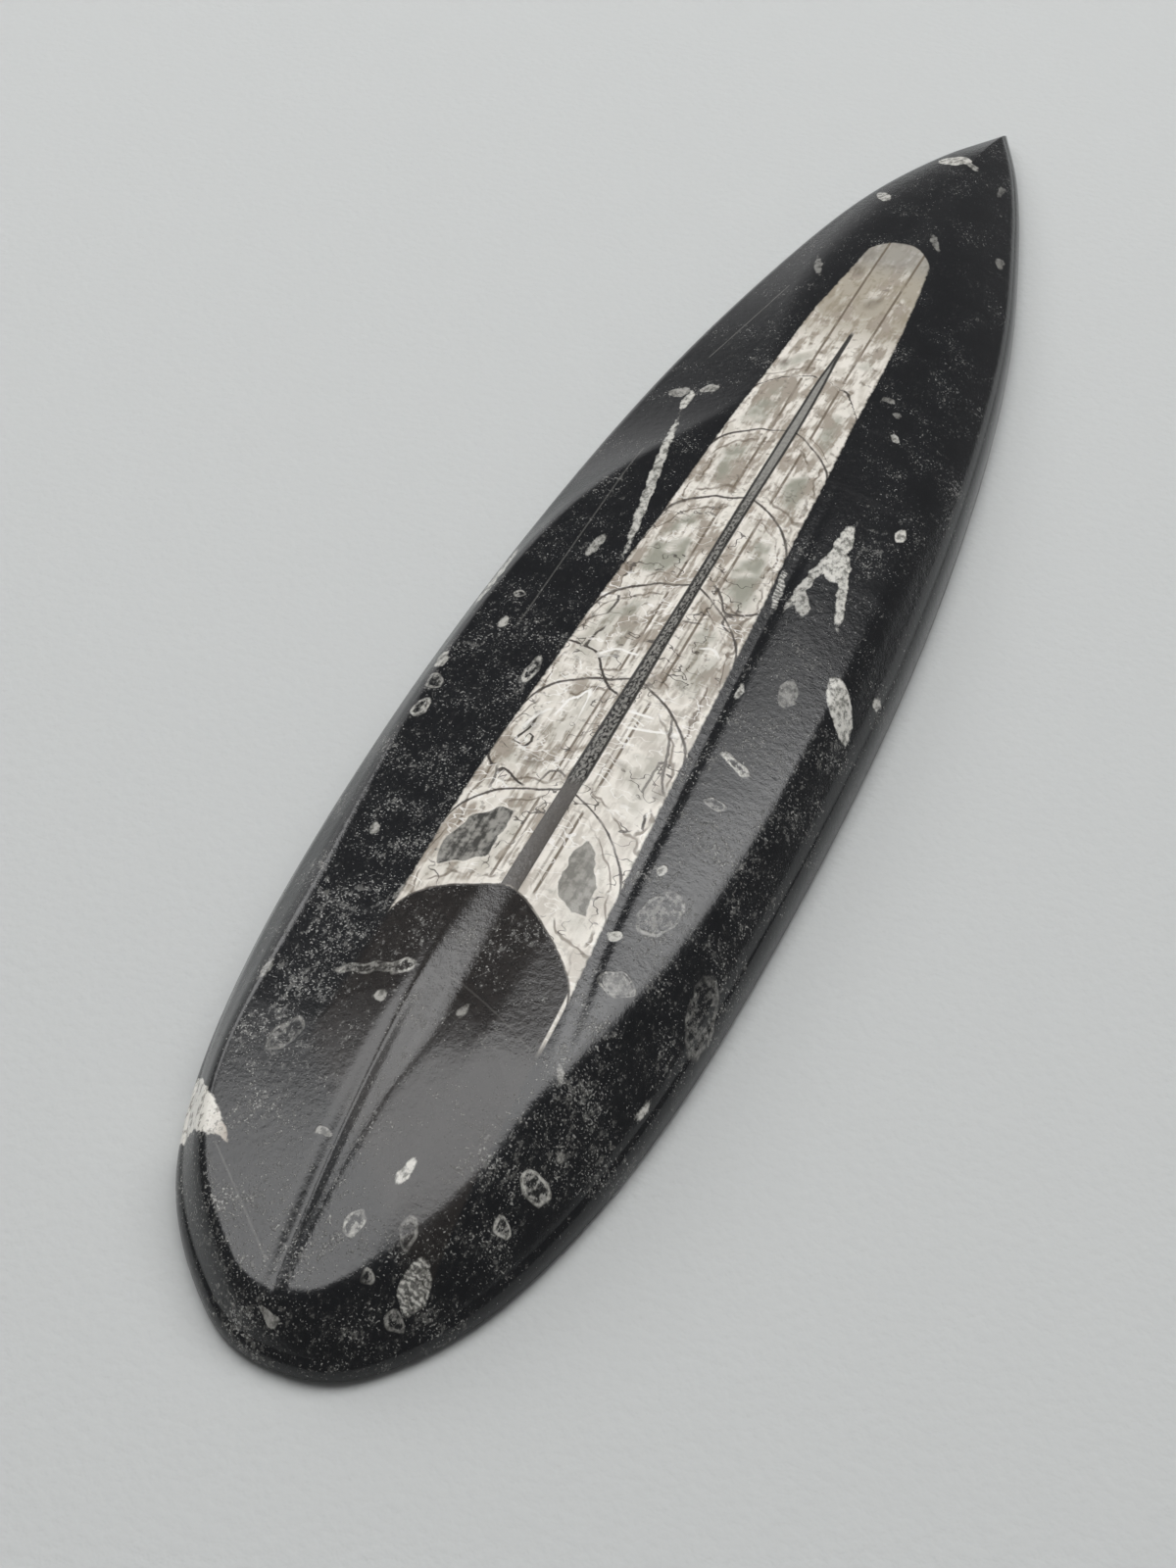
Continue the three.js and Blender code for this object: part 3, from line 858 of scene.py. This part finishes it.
def shell_paint(place, off, septum, inside, shake, clouds):
    """Colour of the calcite with its painted sheen and glints, and its dark lines."""
    tree = place.tree
    x, y, _ = parts(place)
    pocket, stain, _ = measures(tree, "marks")
    streaks = noise(place, (0.6, 3.2, 1.0), 2, 0.6, 7)
    patches = noise(place, (2.2, 3.6, 2.0), 2, 0.5, 8)
    paint = blend(fade(streaks * 0.4 + patches * 0.48 + shake * 0.12, 0.43, 0.55), CREAM, MILK)
    paint = blend(fade(shake, 0.42, 0.3) * 0.5, paint, SHADED)
    # Painted sheen: right of the tube, the lower chambers are painted lighter where the light falls
    # on the polish.
    paint = blend(fade(x, 0.4, 2.4) * fade(y, -20, -30) * 0.5, paint, PAINTED_SHEEN)
    beige = fade(y, 30, 40) * fade(patches, 0.3, 0.55) * 0.8
    beige = beige.most(fade(patches, 0.58, 0.72) * 0.35)
    paint = blend(beige, paint, BEIGE)
    paint = blend(fade(y, 47, 52) * 0.55, paint, TOP_GREY)
    heart = fade(off + (patches - 0.5) * 4, 2.2, 3.8) * fade(septum + (streaks - 0.5) * 4, 1.2, 3.4)
    heart = heart * fade(inside + (patches - 0.5) * 2, 0.6, 2.2) * fade(y, 34, 26)
    glassy = heart * fade(clouds, 0.38, 0.56) * fade(y, -22, -8, 0.35, 0.95)
    paint = blend(glassy, paint, GLASSY)
    paint = blend(fade(septum, 0.9, 0.35) * fade(clouds, 0.4, 0.6) * 0.5, paint, MILK)

    growth = fade(abs(off - GROWTH_LINES[0]), 0.2, 0.06) * fade(septum, 0.7, 1.3)
    growth = growth * fade(streaks, 0.34, 0.5, 0.3, 0.9)
    second = fade(abs(off - GROWTH_LINES[1]), 0.16, 0.05) * fade(septum, 1.5, 2.5)
    second = second * fade(y, -10, -18) * 0.5
    wander = (patches - 0.5) * 3.0
    band = fade(abs(septum - 1.4 + wander), 0.24, 0.06) * fade(off, 1.0, 2.4)
    band = band * fade(clouds, 0.42, 0.54)
    wall = fade(abs(inside - 0.8 + wander), 0.2, 0.06)
    wall = wall * fade(clouds, 0.54, 0.44) * fade(y, 30, 10)
    paint = blend(growth.most(second).most(band * 0.7).most(wall * 0.75), paint, BROWN)

    hair = hairline(noise(place, (2.6, 2.0, 2.0), 2, 0.6, 15), 0.018) * fade(clouds, 0.5, 0.58)
    vein_and_glint, dark, pale = measures(tree, "veins_and_glints")
    vein_and_glint = abs(vein_and_glint + (shake - 0.5) * 0.25)
    hair = (hair * fade(y, 14, -4) * 0.85).most(fade(vein_and_glint, 0.18, 0.07) * dark)
    paint = blend(hair, paint, WALL_DARK)
    # Painted glints: fine white hairlines and the pale lines are sparkles of the light on the
    # polish, laid on as colour.
    glint = hairline(noise(place, (1.5, 1.0, 1.5), 1, 0.5, 17), 0.028) * fade(clouds, 0.52, 0.42)
    glint = (glint * fade(y, 20, -12) * 0.7).most(fade(vein_and_glint, 0.2, 0.08) * pale)
    paint = blend(glint, paint, GLINT)
    paint = blend(stain * fade(shake, 0.3, 0.6, 0.6, 1.0), paint, STAIN)

    rim = pocket + (shake - 0.5) * 0.3
    facets = fade(shake * 0.5 + streaks * 0.5, 0.4, 0.6)
    crystals = blend(facets, CRYSTAL_DARK, CRYSTAL_LIGHT)
    crystals = blend(fade(x, -1, 1) * 0.4, crystals, CRYSTAL_PALE)
    paint = blend(fade(rim, -0.3, -0.05) * 0.5, paint, MILK)
    paint = blend(fade(rim, 0.0, 0.12), paint, crystals)
    line = fade(septum + (shake - 0.5) * 0.2, 0.22, 0.06) * fade(off, 0.3, 0.5)
    line = line * fade(patches, 0.3, 0.5, 0.6, 0.95)
    return blend(line, paint, WALL_DARK), line.most(hair)


print("shell paint ready")

# %% [markdown]
# ## The siphuncle
#
# The tube is two dark lines with pale and dark grains between them. Towards the point it
# narrows to a single line, and in the last chamber it is filled with plain grey stone.

# %% Siphuncle
TUBE_TOP = 36.2
LAST_CHAMBER = -36
GRAIN_DARK, GRAIN_LIGHT = tint(66, 65, 62), tint(134, 132, 127)
GRAIN_BLACK = tint(36, 35, 34)
TUBE_GREY = tint(146, 144, 139)
STONE_DARK, STONE_LIGHT = tint(76, 73, 70), tint(98, 94, 90)
TUBE_WALL = tint(44, 42, 40)


def tube_paint(place, paint, beside, base, shake):
    """Lay the tube over the shell's paint; beside is the distance outside its wall."""
    _, y, _ = parts(place)
    last = fade(y, LAST_CHAMBER, LAST_CHAMBER - 1.4)
    present = fade(y, TUBE_TOP, TUBE_TOP - 1.2) * fade(base, -0.02, 0.02)
    grains = noise(place, (0.24, 0.38, 0.3), 1, 0.6, 21)
    filling = blend(fade(grains, 0.4, 0.62), GRAIN_DARK, GRAIN_LIGHT)
    filling = blend(fade(grains, 0.43, 0.37) * fade(y, 4, -10), filling, GRAIN_BLACK)
    filling = blend(fade(y, 0, 12) * 0.75, filling, TUBE_GREY)
    filling = blend(last, filling, blend(grains, STONE_DARK, STONE_LIGHT))
    paint = blend(fade(beside, 0.03, -0.03) * present, paint, filling)
    edge = fade(abs(beside + 0.02), 0.2, 0.08) * present * (last * -0.85 + 1)
    return blend(edge * 0.95, paint, TUBE_WALL)


print("tube paint ready")

# %% [markdown]
# ## The whole stone
#
# One material covers the stone: shell inside its outline, limestone around it, a sawn and
# duller base underneath. Polish is low roughness. What is left of the grinding is a very fine
# grain and some short scratches, which show as a shimmer in the reflections.

# %% Polished stone
POLISH = 0.13
SAWN = 0.5
GRAIN_HEIGHT = 0.008
SCRATCH_HEIGHT = 0.003
CRUMB_HEIGHT = 0.012
LUMP_HEIGHT = 0.024
SAW_HEIGHT = 0.12
OUTLINE_DARK = tint(40, 38, 36)
SAWN_DARK, SAWN_LIGHT = tint(70, 70, 69), tint(104, 103, 101)


def polished_stone():
    """The one material of the stone."""
    made = bpy.data.materials.new("polished_stone")
    made.use_nodes = True
    tree = made.node_tree
    shader = tree.nodes["Principled BSDF"]
    source = tree.nodes.new("ShaderNodeTexCoord")
    measured = tree.nodes.new("ShaderNodeVectorMath")
    measured.operation = "SCALE"
    tree.links.new(source.outputs["Object"], measured.inputs[0])
    measured.inputs["Scale"].default_value = 1 / MM
    place = Wire(tree, measured.outputs[0])
    x, y, z = parts(place)
    shake = noise(place, 0.7, 2, 0.6, 22)
    clouds = noise(place, 4.5, 2, 0.55, 24)

    off, chamber, inside = measures(tree, "chart")
    spacing, beside, right = measures(tree, "gaps")
    chamber = chamber + (clouds - 0.5) * 0.06
    septum = abs(chamber - chamber.maths("ROUND")) * spacing
    base = chamber - 1
    inside = inside + (shake - 0.5) * 0.3

    # The chamber the animal lived in lies below the last septum and is filled with mud.
    inner = fade(base, 0.0, -0.02) * fade(right, 0.0, 0.3)
    inner = inner * fade(x, -8.2, -7.2) * fade(y + x * 0.9, -77, -74)
    ground, crumbs = limestone_paint(place, shake, clouds, inner)
    calcite, marks = shell_paint(place, abs(off), septum, inside, shake, clouds)
    calcite = tube_paint(place, calcite, beside, base, shake)
    shell = fade(inside, -0.05, 0.1) * fade(base, -0.012, 0.004)
    # The right wall of the shell runs on past the last septum as a thin white horn.
    horn = fade(abs(right - 0.2), 0.22, 0.08) * fade(y, -64.5, -62) * fade(y, -50, -54)
    shell = shell.most(horn * 0.9)
    outline = fade(abs(inside), 0.2, 0.05) * fade(base, -0.03, 0.0)
    paint = blend(shell, ground, calcite)
    paint = blend(outline * 0.35, paint, OUTLINE_DARK)
    under = fade(z, 0.1, 0.04)
    paint = blend(under, paint, blend(shake, SAWN_DARK, SAWN_LIGHT))
    tree.links.new(paint.socket, shader.inputs["Base Color"])

    grain = noise(place, 0.16, 1, 0.6, 31)
    scratches = noise(place, (0.1, 0.8, 0.3), 1, 0.6, 30, 35)
    saw = noise(place, (0.35, 30, 1), 0, 0.5, 32)
    gloss = grain * 0.06 + POLISH + crumbs * 0.05 + shell * 0.03 + marks * 0.05
    gloss = pick(under, gloss, grain * 0.2 + SAWN)
    tree.links.new(gloss.socket, shader.inputs["Roughness"])
    height = grain * GRAIN_HEIGHT + scratches * SCRATCH_HEIGHT
    height = height + crumbs * CRUMB_HEIGHT + shake * LUMP_HEIGHT + under * saw * SAW_HEIGHT
    bump = tree.nodes.new("ShaderNodeBump")
    bump.inputs["Strength"].default_value = 1.0
    bump.inputs["Distance"].default_value = MM
    tree.links.new(height.socket, bump.inputs["Height"])
    tree.links.new(bump.outputs["Normal"], shader.inputs["Normal"])
    print(f"polished stone: {len(tree.nodes)} nodes")
    return made


stone.data.materials.clear()
stone.data.materials.append(polished_stone())

# %% [markdown]
# ## The floor
#
# The stone lies on a wide pale sheet with a faint leather grain. The grain is bump only: round
# cells of a millimetre, lit softly, so they show near the stone and fade out with distance.

# %% Floor
FLOOR_SIZE = 8
FLOOR_COLOUR = (0.55, 0.563, 0.56)
CELL = 0.9
CELL_HEIGHT = 0.12


def pale_sheet():
    """Plain floor with a faint grain."""
    made = bpy.data.materials.new("pale_sheet")
    made.use_nodes = True
    tree = made.node_tree
    shader = tree.nodes["Principled BSDF"]
    source = tree.nodes.new("ShaderNodeTexCoord")
    cells = tree.nodes.new("ShaderNodeTexNoise")
    tree.links.new(source.outputs["Object"], cells.inputs["Vector"])
    cells.inputs["Scale"].default_value = 1 / (CELL * MM)
    cells.inputs["Detail"].default_value = 2
    bump = tree.nodes.new("ShaderNodeBump")
    bump.inputs["Strength"].default_value = 1.0
    bump.inputs["Distance"].default_value = CELL_HEIGHT * MM
    tree.links.new(cells.outputs[0], bump.inputs["Height"])
    tree.links.new(bump.outputs["Normal"], shader.inputs["Normal"])
    shader.inputs["Base Color"].default_value = (*FLOOR_COLOUR, 1)
    shader.inputs["Roughness"].default_value = 0.8
    return made


bpy.ops.object.select_all(action="DESELECT")
bpy.ops.mesh.primitive_plane_add(size=FLOOR_SIZE)
floor = bpy.context.active_object
floor.name = "floor"
floor.data.materials.append(pale_sheet())
floor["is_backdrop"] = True
print("floor laid")

# %% [markdown]
# ## The camera
#
# The camera looks down at about half a right angle, from 21 cm away. The distance sets how
# fast the stone narrows towards its point, and the lens then only sets how large it is.

# %% Camera
VIEW_AZIMUTH = 24.1
VIEW_ELEVATION = 46
VIEW_DISTANCE = 0.21165
AIM = Vector((-0.0023, -0.0279, 0))
LENS = 54
SENSOR = 36


def direction(azimuth, elevation):
    """Unit vector from the stone towards a viewer at that azimuth and elevation."""
    a, e = math.radians(azimuth), math.radians(elevation)
    return Vector((math.sin(a) * math.cos(e), -math.cos(a) * math.cos(e), math.sin(e)))


viewpoint = AIM + VIEW_DISTANCE * direction(VIEW_AZIMUTH, VIEW_ELEVATION)
bpy.ops.object.camera_add(location=viewpoint)
camera = bpy.context.active_object
camera.rotation_euler = (AIM - camera.location).to_track_quat("-Z", "Y").to_euler()
camera.data.lens = LENS
camera.data.sensor_width = SENSOR
camera.data.clip_start = 0.01
scene.camera = camera
print(f"camera {VIEW_DISTANCE / MM:.0f} mm from its aim")

# %% [markdown]
# ## The light
#
# A black polished stone is seen by what it mirrors. A bank of panels overhead gives the grey
# sheen on every part that tips towards the viewer, and its three steps make the sheen's end
# soft. A side panel lights the right lobe, a window the left flank of the ridge, and a pale
# wall far away the left edge. All the rest of the room is dim, so level parts stay black.

# %% Lights
GLOW = math.radians(VIEW_AZIMUTH + 28)
GLOW_WALL, DIM_ROOM = 1.0, 0.19
GLOW_START, GLOW_FULL = 0.86, 0.985  # cosines of the angle to the middle of the pale wall
BACKDROP = tint(196, 199, 198)
PANEL_TURN = 11
PANEL_STEPS = (0.22, 0.27, 0.32)
PANEL_HEIGHT, PANEL_RISE = 0.9, 0.01
PANEL_SIZE = (1.5, 0.5)

world = bpy.data.worlds.new("dim room")
scene.world = world
world.use_nodes = True
sky = world.node_tree
look = sky.nodes.new("ShaderNodeTexCoord")
facing = sky.nodes.new("ShaderNodeVectorMath")
facing.operation = "DOT_PRODUCT"
facing.inputs[1].default_value = (-math.sin(GLOW), math.cos(GLOW), 0.0)
ramp = sky.nodes.new("ShaderNodeValToRGB")
sky.links.new(look.outputs["Generated"], facing.inputs[0])
sky.links.new(facing.outputs["Value"], ramp.inputs[0])
path = sky.nodes.new("ShaderNodeLightPath")
seen = sky.nodes.new("ShaderNodeMix")
seen.data_type = "RGBA"
seen.inputs[7].default_value = (*BACKDROP, 1)
sky.links.new(path.outputs["Is Camera Ray"], seen.inputs[0])
sky.links.new(ramp.outputs["Color"], seen.inputs[6])
sky.links.new(seen.outputs[2], sky.nodes["Background"].inputs["Color"])
ramp.color_ramp.elements[0].position = GLOW_START
ramp.color_ramp.elements[0].color = (DIM_ROOM, DIM_ROOM, DIM_ROOM, 1)
ramp.color_ramp.elements[1].position = GLOW_FULL
ramp.color_ramp.elements[1].color = (GLOW_WALL, GLOW_WALL, GLOW_WALL, 1)
sky.nodes["Background"].inputs["Strength"].default_value = 1.0


def soft_light(name, right, forward, up, size, power, aim=(0, 0, 0)):
    """Area light placed from the viewer's side: metres to the right, away and up."""
    turn = math.radians(VIEW_AZIMUTH)
    rightwards = Vector((math.cos(turn), math.sin(turn), 0))
    away = Vector((-math.sin(turn), math.cos(turn), 0))
    place = rightwards * right + away * forward + Vector((0, 0, up))
    bpy.ops.object.light_add(type="AREA", location=place)
    light = bpy.context.active_object
    light.name = name
    light.data.shape = "RECTANGLE"
    light.data.size, light.data.size_y = size
    light.data.energy = power
    light.rotation_euler = (Vector(aim) - place).to_track_quat("-Z", "Y").to_euler()
    return light


for number, forward in enumerate(PANEL_STEPS):
    height = PANEL_HEIGHT + PANEL_RISE * number
    panel = soft_light(f"overhead {number + 1}", 0.2, forward, height, PANEL_SIZE, 3)
    panel.rotation_euler = (0, 0, math.radians(VIEW_AZIMUTH + PANEL_TURN))
soft_light("side panel", 0.47, 0.6, 0.97, (0.4, 0.35), 0.8)
soft_light("window", -0.77, 0.8, 0.78, (0.64, 0.55), 3.8)

# %% [markdown]
# ## Size of the result
#
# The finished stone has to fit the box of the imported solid, so both boxes are written down.

# %% Write the sizes
visual_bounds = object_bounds()
for name, (low, high) in (("packed", cad_bounds), ("shown", visual_bounds)):
    print(name, [round((high[i] - low[i]) / MM, 2) for i in range(3)], "mm")
